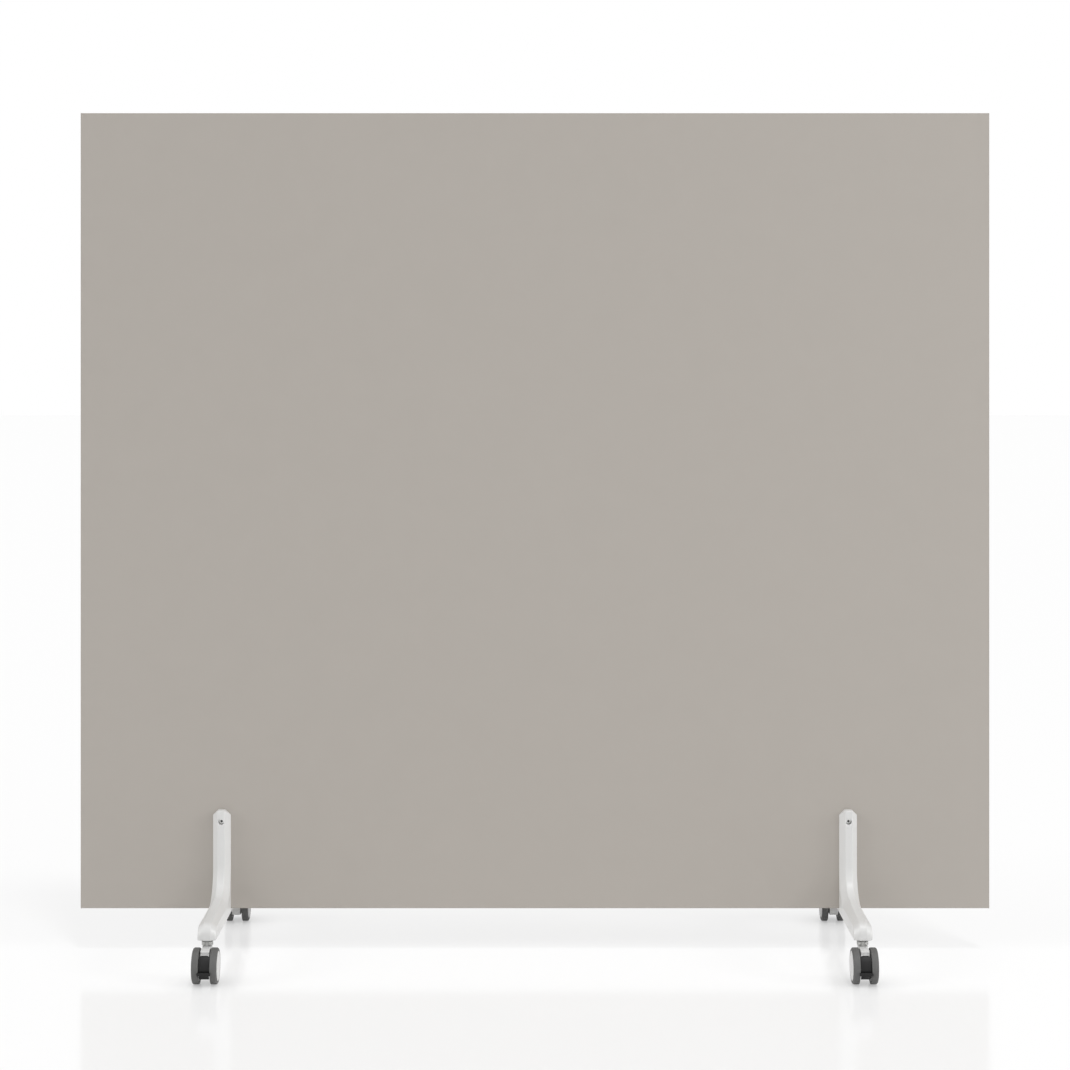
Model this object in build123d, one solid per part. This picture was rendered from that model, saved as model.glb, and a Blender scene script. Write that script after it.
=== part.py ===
from build123d import *
import math
import os

# Room divider on wheels.
# A laminated board stands in two cast feet. Each foot is a saddle: the board
# drops between its two uprights and rests on the web that joins them, and one
# through screw with a sleeve nut clamps it there. Each foot carries a braked
# twin-wheel caster at either end.
# X runs along the board, Y from front to back and Z up. The origin is on the
# floor, under the middle of the board. Lengths are in millimetres.

# Board
panel_width = 1600.0
panel_height = 1400.0
panel_thickness = 19.0
laminate_thickness = 0.8
edge_band_thickness = 2.0
edge_band_round = 1.2

# Feet
foot_end_margin = 249.0
foot_width = 32.0
foot_crown_width = 12.0
foot_upright_height = 175.0
foot_upright_proud = 14.0
foot_side_proud = 2.0
foot_shoulder_drop = 9.3
foot_reach = 205.0
foot_side_setback = 4.0
foot_ridge_height = 39.5
foot_ridge_fall_angle = 4.1
foot_side_height = 19.0
foot_ridge_bend_radius = 48.0
foot_side_bend_radius = 60.0
foot_nose_radius = 18.0
side_nose_radius_share = 0.92
saddle_web = 5.0
foot_wall = 3.5
foot_pocket_start = 12.0
foot_rib_thickness = 3.0
foot_rib_count = 2
foot_edge_round = 2.0

# Clamp fasteners
clamp_hole_drop = 20.5
screw_head_diameter = 9.4
screw_head_height = 3.0
screw_socket_width = 4.0
screw_socket_depth = 2.2
screw_edge_chamfer = 0.4
screw_shank_diameter = 6.0
counterbore_clearance = 0.3
clamp_wall = 3.0
sleeve_diameter = 8.0
sleeve_hole_clearance = 0.2
sleeve_end_gap = 1.0
thread_clearance = 0.05
screw_thread_share = 0.75

# Casters
wheel_diameter = 60.0
wheel_gap = 17.5
tread_width = 12.5
tread_shoulder_radius = 3.5
tread_inner_round = 1.2
cap_diameter = 49.0
cap_edge = 1.6
cap_crown = 0.9
cap_wall = 1.6
cap_edge_round = 0.5
cap_spigot_wall = 1.4
cap_spigot_depth = 2.4
tread_key_height = 0.9
tread_key_width = 5.0
hub_rim_wall = 3.0
hub_inner_setback = 0.6
hub_web = 2.4
hub_boss_wall = 4.5
axle_diameter = 8.0
axle_end_gap = 0.4
running_clearance = 0.05
seat_clearance = 0.02
side_clearance = 0.3
caster_trail = 22.0
caster_stem_setback = 14.0

# Caster housing and stem
housing_width = 15.3
housing_hood_radius = 24.5
housing_crest_radius = 28.8
housing_crest_reach = 12.0
housing_corner_round = 1.5
housing_rise = 29.2
housing_heel = 14.0
housing_heel_round = 7.0
housing_edge_round = 1.2
housing_boss_radius = 8.5
wheel_clearance = 0.8
swivel_gap = 0.3
stem_grip_diameter = 9.0
stem_grip_length = 25.0
stem_groove_depth = 0.5
stem_groove_width = 1.4
stem_groove_share = 0.85
stem_collar_diameter = 19.2
stem_collar_height = 7.5
stem_collar_line_share = 0.5
stem_collar_line_depth = 0.7
stem_collar_line_width = 1.0
stem_neck_diameter = 14.5
stem_neck_height = 4.5
stem_thread_diameter = 10.0
stem_thread_length = 19.0
stem_edge_chamfer = 0.8
stem_end_gap = 0.8
bush_wall = 1.25
bush_flange_width = 0.9
bush_flange_height = 1.2

# Brake pedal
pedal_play = 0.6
pedal_wall = 1.9
pedal_width = 16.9
pedal_top_angle = 52.0
pedal_toe_angle = -41.0
pedal_corner_round = 6.0
pedal_skirt_step = 0.9
ledge_drop = 5.0
ledge_height = 3.8
ledge_width = 22.6
ledge_proud = 2.2
ledge_round = 0.9
brake_gap = 0.35
pedal_pin_rise = 10.5
pedal_pin_diameter = 4.0
pedal_hub_wall = 2.0
pedal_arm_width = 6.0
pedal_arm_top_share = 0.42
pedal_arm_foot_share = 0.08
pedal_slot_top_angle = 44.5
pedal_slot_play = 0.35

# One overrun serves every cut that has to break through a face
overrun = 2.0

# Heights and places that follow from the sizes above
wheel_radius = wheel_diameter / 2
axle_height = wheel_radius
housing_top = axle_height + housing_rise
collar_base = housing_top + swivel_gap
neck_base = collar_base + stem_collar_height
foot_underside = neck_base + stem_neck_height
panel_bottom = foot_underside + saddle_web
panel_middle = panel_bottom + panel_height / 2
foot_top = panel_bottom + foot_upright_height
clamp_height = foot_top - clamp_hole_drop
board_face = panel_thickness / 2
foot_spacing = panel_width - 2 * foot_end_margin
stem_distance = board_face + foot_reach - caster_stem_setback
counterbore_diameter = screw_head_diameter + 2 * counterbore_clearance
sleeve_hole_diameter = sleeve_diameter + 2 * sleeve_hole_clearance
axle_place = (0, -caster_trail, axle_height)
wheel_inner_face = wheel_gap / 2
wheel_outer_face = wheel_inner_face + tread_width
bush_diameter = stem_grip_diameter + 2 * running_clearance + 2 * bush_wall
pedal_inner_radius = housing_hood_radius + pedal_play
pedal_outer_radius = pedal_inner_radius + pedal_wall

corners = {
    "front_left": (-1, -1),
    "front_right": (1, -1),
    "rear_left": (-1, 1),
    "rear_right": (1, 1),
}


def face_of(edges):
    """Closed flat face from edges that meet end to end."""
    return make_face(Wire(edges).edges())


def side_plane(x=0):
    """Plane seen from the left side, with Y to the right and Z up, at a given X."""
    return Plane(origin=(x, 0, 0), x_dir=(0, 1, 0), z_dir=(1, 0, 0))


def turned(profile, centre, axis_dir):
    """Solid of revolution from a profile drawn as distance along the axis and radius."""
    solid = revolve(Plane.XY * profile, Axis.X)
    if axis_dir == "Z":
        solid = Rot(0, -90, 0) * solid
    if axis_dir == "Y":
        solid = Rot(0, 0, 90) * solid
    return Pos(*centre) * solid


def ring(start, end, inner, outer):
    """Rectangle of a turned profile, from one place along the axis to another."""
    low = min(start, end)
    return Pos(low, inner) * Rectangle(abs(end - start), outer - inner, align=(Align.MIN, Align.MIN))


# Board

def board_hole(x):
    """Hole for a sleeve nut through the whole board."""
    cutter = Cylinder(sleeve_hole_diameter / 2, panel_thickness + 2 * overrun, rotation=(90, 0, 0))
    return Pos(x, 0, clamp_height) * cutter


def drilled(board_layer):
    """Board layer with both clamp holes drilled."""
    for side in (-1, 1):
        board_layer -= board_hole(side * foot_spacing / 2)
    return board_layer


def core_size():
    """Width and height of the core, inside the edge bands."""
    return panel_width - 2 * edge_band_thickness, panel_height - 2 * edge_band_thickness


def panel_core():
    """Chipboard core of the board."""
    width, height = core_size()
    thickness = panel_thickness - 2 * laminate_thickness
    return drilled(Pos(0, 0, panel_middle) * Box(width, thickness, height))


def panel_laminate(side):
    """Decor laminate on one face of the core."""
    width, height = core_size()
    y = side * (panel_thickness - laminate_thickness) / 2
    return drilled(Pos(0, y, panel_middle) * Box(width, laminate_thickness, height))


def edge_band(length):
    """Strip of edge band lying along X, its rounded outer corners upwards."""
    section = Rectangle(panel_thickness, edge_band_thickness, align=(Align.CENTER, Align.MIN))
    section = fillet(section.vertices().group_by(Axis.Y)[-1], edge_band_round)
    return extrude(side_plane() * section, length / 2, both=True)


def edge_bands():
    """The four strips: the upright ones run full height and cover the ends of the others."""
    width, height = core_size()
    long_strip = edge_band(width)
    tall_strip = edge_band(panel_height)
    return {
        "edge_band_top": Pos(0, 0, panel_middle + height / 2) * long_strip,
        "edge_band_bottom": Pos(0, 0, panel_middle - height / 2) * Rot(180, 0, 0) * long_strip,
        "edge_band_left": Pos(-width / 2, 0, panel_middle) * Rot(0, -90, 0) * tall_strip,
        "edge_band_right": Pos(width / 2, 0, panel_middle) * Rot(0, 90, 0) * tall_strip,
    }


# Feet

def foot_outline(x, proud, ridge, fall, reach, bend, nose, top):
    """Side outline of the front half of a foot, as a face at a given X.

    It runs along the underside, up the nose, back along the arm, through the
    hollow bend and up to the top of the upright, and down the board's face.
    """
    slope = math.tan(math.radians(fall))
    sine = math.sin(math.radians(fall))
    cosine = math.cos(math.radians(fall))
    base = foot_underside

    def arm_top(distance):
        return base + ridge - distance * slope

    bend_at = (proud + bend, arm_top(proud + bend) + bend / cosine)
    nose_at = (reach - nose, arm_top(reach - nose) - nose / cosine)
    bend_end = (bend_at[0] - bend * sine, bend_at[1] - bend * cosine)
    nose_start = (nose_at[0] + nose * sine, nose_at[1] + nose * cosine)
    half_turn = math.radians(90 - fall) / 2
    bend_mid_angle = math.pi + half_turn
    bend_mid = (
        bend_at[0] + bend * math.cos(bend_mid_angle),
        bend_at[1] + bend * math.sin(bend_mid_angle),
    )
    nose_mid = (
        nose_at[0] + nose * math.cos(half_turn),
        nose_at[1] + nose * math.sin(half_turn),
    )
    places = {
        "middle_low": (-board_face, base),
        "nose_low": (reach, base),
        "nose_high": (reach, nose_at[1]),
        "nose_start": nose_start,
        "bend_end": bend_end,
        "bend_start": (proud, bend_at[1]),
        "top_front": (proud, top),
        "top_back": (0, top),
        "seat_front": (0, panel_bottom),
        "seat_middle": (-board_face, panel_bottom),
        "bend_mid": bend_mid,
        "nose_mid": nose_mid,
    }
    spot = {name: (-board_face - place[0], place[1]) for name, place in places.items()}
    edges = [
        Line(spot["middle_low"], spot["nose_low"]),
        Line(spot["nose_low"], spot["nose_high"]),
        ThreePointArc(spot["nose_high"], spot["nose_mid"], spot["nose_start"]),
        Line(spot["nose_start"], spot["bend_end"]),
        ThreePointArc(spot["bend_end"], spot["bend_mid"], spot["bend_start"]),
        Line(spot["bend_start"], spot["top_front"]),
        Line(spot["top_front"], spot["top_back"]),
        Line(spot["top_back"], spot["seat_front"]),
        Line(spot["seat_front"], spot["seat_middle"]),
        Line(spot["seat_middle"], spot["middle_low"]),
    ]
    return side_plane(x) * face_of(edges)


def ridge_outline(x):
    """Outline of the foot along its raised middle."""
    return foot_outline(
        x, foot_upright_proud, foot_ridge_height, foot_ridge_fall_angle, foot_reach,
        foot_ridge_bend_radius, foot_nose_radius, foot_top,
    )


def wall_outline(x):
    """Outline of the foot along its low side walls."""
    return foot_outline(
        x, foot_side_proud, foot_side_height, 0, foot_reach - foot_side_setback,
        foot_side_bend_radius, foot_side_height * side_nose_radius_share, foot_top - foot_shoulder_drop,
    )


def is_facet_edge(edge):
    """Whether an edge runs along a facet's border over the top of the foot."""
    start = edge.position_at(0)
    end = edge.position_at(1)
    along = any(
        abs(abs(start.X) - x) < seat_clearance and abs(end.X - start.X) < seat_clearance
        for x in (foot_crown_width / 2, foot_width / 2)
    )
    low = max(start.Z, end.Z) < foot_underside + seat_clearance
    seated = min(start.Y, end.Y) > -board_face - seat_clearance
    return along and not low and not seated


def foot_half_blank():
    """Front half of a foot without its holes: a crown between two facets, with rounded edges."""
    crown = foot_crown_width / 2
    edge = foot_width / 2
    body = extrude(ridge_outline(-crown), foot_crown_width)
    for side in (-1, 1):
        body += loft([ridge_outline(side * crown), wall_outline(side * edge)], ruled=True)
    return fillet(body.edges().filter_by(is_facet_edge), foot_edge_round)


def foot_pocket():
    """Hollow under one arm, split by cross ribs, that leaves an even wall all round."""
    start = board_face + foot_pocket_start
    end = stem_distance - stem_thread_diameter
    slope = math.tan(math.radians(foot_ridge_fall_angle))
    low = foot_underside - overrun

    def outline(x, height, fall):
        near = foot_underside + height - (start - board_face) * fall - foot_wall
        far = foot_underside + height - (end - board_face) * fall - foot_wall
        points = [(-start, low), (-end, low), (-end, far), (-start, near)]
        return side_plane(x) * make_face(Polyline(*points, close=True).edges())

    crown = foot_crown_width / 2
    edge = foot_width / 2 - foot_wall
    pocket = extrude(outline(-crown, foot_ridge_height, slope), foot_crown_width)
    for side in (-1, 1):
        pocket += loft(
            [outline(side * crown, foot_ridge_height, slope), outline(side * edge, foot_side_height, 0)],
            ruled=True,
        )
    bay = (end - start) / (foot_rib_count + 1)
    for rib in range(foot_rib_count):
        place = start + bay * (rib + 1)
        wall = Box(foot_width, foot_rib_thickness, foot_ridge_height * 2)
        pocket -= Pos(0, -place, foot_underside) * wall
    return pocket


def foot_half():
    """Front half of a foot with its hollow, its stem hole and its clamp hole."""
    body = foot_half_blank() - foot_pocket()
    stem_hole = Cylinder(
        stem_thread_diameter / 2 + thread_clearance,
        stem_thread_length + stem_end_gap + overrun,
        align=(Align.CENTER, Align.CENTER, Align.MIN),
    )
    body -= Pos(0, -stem_distance, foot_underside - overrun) * stem_hole
    clamp_depth = panel_thickness + foot_upright_proud
    clamp_hole = Cylinder(sleeve_hole_diameter / 2, clamp_depth, rotation=(90, 0, 0))
    body -= Pos(0, -board_face, clamp_height) * clamp_hole
    counterbore = Cylinder(
        counterbore_diameter / 2,
        foot_upright_proud,
        rotation=(90, 0, 0),
        align=(Align.CENTER, Align.CENTER, Align.MIN),
    )
    body -= Pos(0, -board_face - clamp_wall, clamp_height) * counterbore
    return body


def foot():
    """Whole foot: the front half and the same half turned to the back."""
    half = foot_half()
    return half + Rot(0, 0, 180) * half


# Clamp fasteners

def clamp_screw():
    """Socket head screw, its head towards the front."""
    seat = -board_face - clamp_wall
    sleeve_start = board_face + clamp_wall - sleeve_length()
    length = (sleeve_start - seat) + sleeve_length() * screw_thread_share
    head = ring(-screw_head_height, 0, 0, screw_head_diameter / 2)
    head = chamfer(head.vertices().group_by(Axis.X)[0].group_by(Axis.Y)[-1], screw_edge_chamfer)
    shank = ring(0, length, 0, screw_shank_diameter / 2 - thread_clearance)
    body = turned(head + shank, (0, seat, clamp_height), "Y")
    socket = RegularPolygon(screw_socket_width / 2, 6, major_radius=False)
    front = Plane(origin=(0, seat - screw_head_height, clamp_height), x_dir=(1, 0, 0), z_dir=(0, 1, 0))
    return body - extrude(front * socket, screw_socket_depth)


def sleeve_length():
    """Length of the sleeve, from under its head to just short of the front counterbore."""
    return panel_thickness + 2 * clamp_wall - sleeve_end_gap


def sleeve_nut():
    """Sleeve nut, its head towards the back and its threaded barrel through the board."""
    seat = board_face + clamp_wall
    head = ring(0, screw_head_height, 0, screw_head_diameter / 2)
    head = chamfer(head.vertices().group_by(Axis.X)[-1].group_by(Axis.Y)[-1], screw_edge_chamfer)
    barrel = ring(-sleeve_length(), 0, screw_shank_diameter / 2, sleeve_diameter / 2)
    body = turned(head + barrel, (0, seat, clamp_height), "Y")
    socket = RegularPolygon(screw_socket_width / 2, 6, major_radius=False)
    back = Plane(origin=(0, seat + screw_head_height, clamp_height), x_dir=(1, 0, 0), z_dir=(0, -1, 0))
    return body - extrude(back * socket, screw_socket_depth)


def on_both_feet(piece):
    """The same piece at both feet, as one group of separate solids."""
    return Compound([Pos(side * foot_spacing / 2, 0, 0) * piece for side in (-1, 1)])


# Casters, drawn for the front of the divider with the stem's axis on X = 0, Y = 0

def caster_stem():
    """Steel stem: a grip that the housing turns on, a collar, a neck and a thread."""
    grip_end = collar_base - stem_grip_length
    grip = stem_grip_diameter / 2
    groove_at = grip_end + stem_grip_length * (1 - stem_groove_share)
    thread_end = foot_underside + stem_thread_length
    profile = ring(grip_end, collar_base, 0, grip)
    profile += ring(collar_base, neck_base, 0, stem_collar_diameter / 2)
    profile += ring(neck_base, foot_underside, 0, stem_neck_diameter / 2)
    profile += ring(foot_underside, thread_end, 0, stem_thread_diameter / 2)
    profile -= ring(groove_at, groove_at + stem_groove_width, grip - stem_groove_depth, grip + overrun)
    rim = profile.vertices().group_by(Axis.Y)[-1]
    tip = profile.vertices().group_by(Axis.X)[-1].group_by(Axis.Y)[-1]
    profile = chamfer(rim + tip, stem_edge_chamfer)
    collar = stem_collar_diameter / 2
    line_base = collar_base + stem_collar_height * stem_collar_line_share
    line_top = line_base + stem_collar_line_width
    profile -= ring(line_base, line_top, collar - stem_collar_line_depth, collar + overrun)
    return turned(profile, (0, 0, 0), "Z")


def swivel_bush():
    """Flanged plastic bush in the housing, round the stem's grip."""
    bore = stem_grip_diameter / 2 + running_clearance
    outer = bush_diameter / 2
    low = collar_base - stem_grip_length
    profile = ring(low, housing_top, bore, outer)
    profile += ring(housing_top - bush_flange_height, housing_top, outer, outer + bush_flange_width)
    return turned(profile, (0, 0, 0), "Z")


def hood_point(radius, ahead):
    """Point at a radius from the axle, at a distance ahead of it, in Y and Z."""
    return (-caster_trail - ahead, axle_height + math.sqrt(radius ** 2 - ahead ** 2))


def housing_outline():
    """Side outline of the housing: a hood over the axle, its crest, a stem boss and a rounded heel."""
    axle = Pos(-caster_trail, axle_height)
    hood = axle * Circle(housing_hood_radius)
    crest = axle * Circle(housing_crest_radius)
    crest &= Pos(-caster_trail - housing_crest_reach, axle_height) * Rectangle(
        caster_trail + housing_crest_reach, wheel_diameter, align=(Align.MIN, Align.MIN),
    )
    floor_cut = Pos(-caster_trail, axle_height - housing_heel) * Rectangle(
        2 * wheel_diameter, wheel_diameter, align=(Align.CENTER, Align.MAX),
    )
    heel_height = housing_top - (axle_height - housing_heel)
    boss = Pos(0, axle_height - housing_heel) * Rectangle(
        2 * housing_boss_radius, heel_height, align=(Align.CENTER, Align.MIN),
    )
    heel_back = boss.vertices().group_by(Axis.Y)[0].sort_by(Axis.X)[-1]
    boss = fillet(heel_back, housing_heel_round)
    outline = (hood - floor_cut) + crest + boss
    for place in (
        hood_point(housing_hood_radius, housing_crest_reach),
        hood_point(housing_crest_radius, housing_crest_reach),
        hood_point(housing_crest_radius, housing_boss_radius - caster_trail),
    ):
        corner = outline.vertices().sort_by_distance(place)[0]
        outline = fillet(corner, housing_corner_round)
    return outline


def pedal_slot():
    """Slot in the front of the housing that the pedal's arm moves in."""
    hub = pedal_pin_diameter / 2 + pedal_hub_wall + pedal_slot_play
    pin = (-caster_trail, axle_height + pedal_pin_rise)
    low = axle_height + pedal_inner_radius * pedal_arm_foot_share - 2 * pedal_slot_play
    high = axle_height + housing_hood_radius * math.sin(math.radians(pedal_slot_top_angle))
    front = -caster_trail - wheel_radius
    mouth = Pos(front, low) * Rectangle(pin[0] - front, high - low, align=(Align.MIN, Align.MIN))
    outline = mouth + Pos(*pin) * Circle(hub)
    width = pedal_arm_width + 2 * pedal_slot_play
    return extrude(side_plane() * outline, width / 2, both=True)


def caster_housing():
    """Moulded housing between the wheels, with bores for the bush, the axle and the pedal pin."""
    body = extrude(side_plane() * housing_outline(), housing_width / 2, both=True)
    faces = body.faces().group_by(Axis.X)
    rims = faces[0].edges() + faces[-1].edges()
    body = fillet(rims, housing_edge_round)
    wheel_top_at_stem = math.sqrt(wheel_radius ** 2 - (caster_trail - housing_boss_radius) ** 2)
    boss_base = axle_height + wheel_top_at_stem + wheel_clearance
    boss = Cylinder(
        housing_boss_radius, housing_top - boss_base, align=(Align.CENTER, Align.CENTER, Align.MIN),
    )
    body += Pos(0, 0, boss_base) * boss
    bore_low = collar_base - stem_grip_length - stem_end_gap
    bore = ring(bore_low, housing_top + overrun, 0, bush_diameter / 2 + seat_clearance)
    seat = bush_diameter / 2 + bush_flange_width + seat_clearance
    bore += ring(housing_top - bush_flange_height - seat_clearance, housing_top + overrun, 0, seat)
    body -= turned(bore, (0, 0, 0), "Z")
    body -= pedal_slot()
    half = housing_width / 2 + overrun
    body -= turned(ring(-half, half, 0, axle_diameter / 2 + seat_clearance), axle_place, "X")
    body -= turned(ring(-half, half, 0, pedal_pin_diameter / 2 + seat_clearance), pin_place(), "X")
    return body


def pin_place():
    """Middle of the pedal's pin."""
    return (0, -caster_trail, axle_height + pedal_pin_rise)


def caster_axle():
    """Steel axle through the housing and both wheels."""
    half = wheel_outer_face - cap_wall - axle_end_gap
    profile = ring(-half, half, 0, axle_diameter / 2)
    return turned(profile, axle_place, "X")


def pedal_pin():
    """Steel pin that the pedal turns on."""
    profile = ring(-housing_width / 2, housing_width / 2, 0, pedal_pin_diameter / 2)
    return turned(profile, pin_place(), "X")


def on_side(profile, side):
    """Turned wheel piece on one side of the caster: 1 towards +X, -1 towards -X."""
    piece = turned(profile, (0, 0, 0), "X")
    if side < 0:
        piece = Rot(0, 0, 180) * piece
    return Pos(*axle_place) * piece


def tread_key():
    """Profile of the rib that holds the tread on its hub."""
    middle = (wheel_inner_face + wheel_outer_face) / 2
    start = middle - tread_key_width / 2
    seat = cap_diameter / 2
    return ring(start, start + tread_key_width, seat - tread_key_height, seat + tread_key_height)


def wheel_tread(side):
    """Soft tyre, its outer shoulder well rounded and its inner one nearly square."""
    profile = ring(wheel_inner_face, wheel_outer_face, cap_diameter / 2, wheel_radius)
    rims = profile.vertices().group_by(Axis.Y)[-1].sort_by(Axis.X)
    profile = fillet(rims[-1], tread_shoulder_radius)
    inner_rim = profile.vertices().sort_by_distance((wheel_inner_face, wheel_radius))[0]
    profile = fillet(inner_rim, tread_inner_round)
    return on_side(profile - tread_key(), side)


def wheel_hub(side):
    """Moulded hub: rim, web and boss, with the rib that carries the tread."""
    bore = axle_diameter / 2 + running_clearance
    boss = axle_diameter / 2 + hub_boss_wall
    rim_outer = cap_diameter / 2
    rim_inner = rim_outer - hub_rim_wall
    rim_end = wheel_outer_face - cap_edge
    web_start = (wheel_inner_face + rim_end) / 2 - hub_web / 2
    profile = ring(wheel_inner_face + hub_inner_setback, rim_end, rim_inner, rim_outer)
    profile += ring(web_start, web_start + hub_web, boss, rim_inner)
    boss_end = wheel_outer_face - cap_wall - axle_end_gap
    profile += ring(housing_width / 2 + side_clearance, boss_end, bore, boss)
    profile += tread_key()
    return on_side(profile, side)


def wheel_cap(side):
    """Domed cover with a spigot that presses into the hub's rim."""
    radius = cap_diameter / 2
    inner = wheel_outer_face - cap_edge
    outer = wheel_outer_face
    crown = outer + cap_crown
    dome = (radius ** 2 + cap_crown ** 2) / (2 * cap_crown)
    half_angle = math.asin(radius / dome) / 2
    middle = (crown - dome + dome * math.cos(half_angle), dome * math.sin(half_angle))
    face = face_of([
        Line((inner, 0), (inner, radius)),
        Line((inner, radius), (outer, radius)),
        ThreePointArc((outer, radius), middle, (crown, 0)),
        Line((crown, 0), (inner, 0)),
    ])
    rim = face.vertices().group_by(Axis.Y)[-1].sort_by(Axis.X)[-1]
    face = fillet(rim, cap_edge_round)
    spigot_outer = radius - hub_rim_wall
    face += ring(inner - cap_spigot_depth, inner, spigot_outer - cap_spigot_wall, spigot_outer)
    return on_side(face, side)


def around_axle(radius, angle):
    """Point at a radius from the axle, at an angle above straight ahead, in Y and Z."""
    turn = math.radians(angle)
    return (-caster_trail - radius * math.cos(turn), axle_height + radius * math.sin(turn))


def pedal_shell(inner, outer, low_angle, high_angle, width):
    """Curved plate between two radii and two angles round the axle."""
    middle = (low_angle + high_angle) / 2
    outer_low = around_axle(outer, low_angle)
    outer_high = around_axle(outer, high_angle)
    inner_low = around_axle(inner, low_angle)
    inner_high = around_axle(inner, high_angle)
    edges = [
        ThreePointArc(outer_low, around_axle(outer, middle), outer_high),
        Line(outer_high, inner_high),
        ThreePointArc(inner_high, around_axle(inner, middle), inner_low),
        Line(inner_low, outer_low),
    ]
    return extrude(side_plane() * face_of(edges), width / 2, both=True)


def pedal_arm():
    """Arm from the pin to the inside of the pedal's shell."""
    hub = pedal_pin_diameter / 2 + pedal_hub_wall
    pin = (-caster_trail, axle_height + pedal_pin_rise)
    reach = (pedal_inner_radius + pedal_outer_radius) / 2
    high = reach * pedal_arm_top_share
    low = reach * pedal_arm_foot_share
    points = [
        (pin[0], pin[1] + hub),
        (-caster_trail - math.sqrt(reach ** 2 - high ** 2), axle_height + high),
        (-caster_trail - math.sqrt(reach ** 2 - low ** 2), axle_height + low),
        (pin[0], pin[1] - hub),
    ]
    outline = make_face(Polyline(*points, close=True).edges()) + Pos(*pin) * Circle(hub)
    return extrude(side_plane() * outline, pedal_arm_width / 2, both=True)


def pedal_ledge():
    """Toe ledge whose ends reach in front of both treads, where they brake them."""
    top = axle_height - ledge_drop
    front = -caster_trail - wheel_radius - ledge_proud
    back = -caster_trail - pedal_inner_radius
    section = Pos(front, top) * Rectangle(back - front, ledge_height, align=(Align.MIN, Align.MAX))
    section = fillet(section.vertices().group_by(Axis.X)[0], ledge_round)
    ledge = extrude(side_plane() * section, ledge_width / 2, both=True)
    gap = turned(ring(pedal_width / 2, ledge_width, 0, wheel_radius + brake_gap), axle_place, "X")
    other_gap = turned(ring(-ledge_width, -pedal_width / 2, 0, wheel_radius + brake_gap), axle_place, "X")
    hollow = turned(ring(-ledge_width, ledge_width, 0, pedal_inner_radius), axle_place, "X")
    return ledge - gap - other_gap - hollow


def brake_pedal():
    """Moulded pedal: curved shell, toe ledge, skirt below it and the arm to the pin."""
    ledge_angle = -math.degrees(math.asin((ledge_drop + ledge_height / 2) / pedal_outer_radius))
    shell = pedal_shell(pedal_inner_radius, pedal_outer_radius, ledge_angle, pedal_top_angle, pedal_width)
    top_corners = shell.edges().filter_by(lambda e: abs(e.length - pedal_wall) < seat_clearance)
    top_corners = top_corners.group_by(Axis.Z)[-1]
    shell = fillet(top_corners, pedal_corner_round)
    skirt_width = pedal_width - 2 * pedal_skirt_step
    skirt_radius = pedal_outer_radius - pedal_skirt_step
    skirt = pedal_shell(
        pedal_inner_radius, skirt_radius, pedal_toe_angle, ledge_angle, skirt_width,
    )
    pin_hole = ring(-pedal_width, pedal_width, 0, pedal_pin_diameter / 2 + running_clearance)
    return shell + skirt + pedal_ledge() + pedal_arm() - turned(pin_hole, pin_place(), "X")


def caster_pieces():
    """All pieces of one caster. Wheel pieces are named by the side of the caster that they are on."""
    pieces = {
        "stem": caster_stem(),
        "swivel_bush": swivel_bush(),
        "housing": caster_housing(),
        "axle": caster_axle(),
        "pedal_pin": pedal_pin(),
        "brake_pedal": brake_pedal(),
    }
    for side in (-1, 1):
        pieces[("hub", side)] = wheel_hub(side)
        pieces[("tread", side)] = wheel_tread(side)
        pieces[("cap", side)] = wheel_cap(side)
    return pieces


def placed_casters():
    """The four casters at the ends of the feet, trailing away from the board."""
    pieces = caster_pieces()
    placed = {}
    for corner, (right, back) in corners.items():
        turn = 0 if back < 0 else 180
        place = Pos(right * foot_spacing / 2, back * stem_distance, 0) * Rot(0, 0, turn)
        for key, piece in pieces.items():
            if isinstance(key, tuple):
                name, side = key
                world_side = side if back < 0 else -side
                wheel = "outboard" if world_side == right else "inboard"
                placed[f"{corner}_{wheel}_{name}"] = place * piece
            else:
                placed[f"{corner}_{key}"] = place * piece
    return placed


def build_parts():
    """Every node of the divider by name."""
    one_foot = foot()
    parts = {
        "panel_core": panel_core(),
        "panel_front_laminate": panel_laminate(-1),
        "panel_back_laminate": panel_laminate(1),
        **edge_bands(),
        "left_foot": Pos(-foot_spacing / 2, 0, 0) * one_foot,
        "right_foot": Pos(foot_spacing / 2, 0, 0) * one_foot,
        "clamp_screws": on_both_feet(clamp_screw()),
        "sleeve_nuts": on_both_feet(sleeve_nut()),
        **placed_casters(),
    }
    return parts


os.makedirs("parts", exist_ok=True)
for node, shape in build_parts().items():
    export_step(shape, f"parts/{node}.step")
    print(node, round(shape.volume, 1))
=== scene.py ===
import logging
import math
from dataclasses import dataclass, field
from enum import Enum
from functools import cache

import bmesh
import bpy
import numpy as np
from mathutils import Matrix


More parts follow.
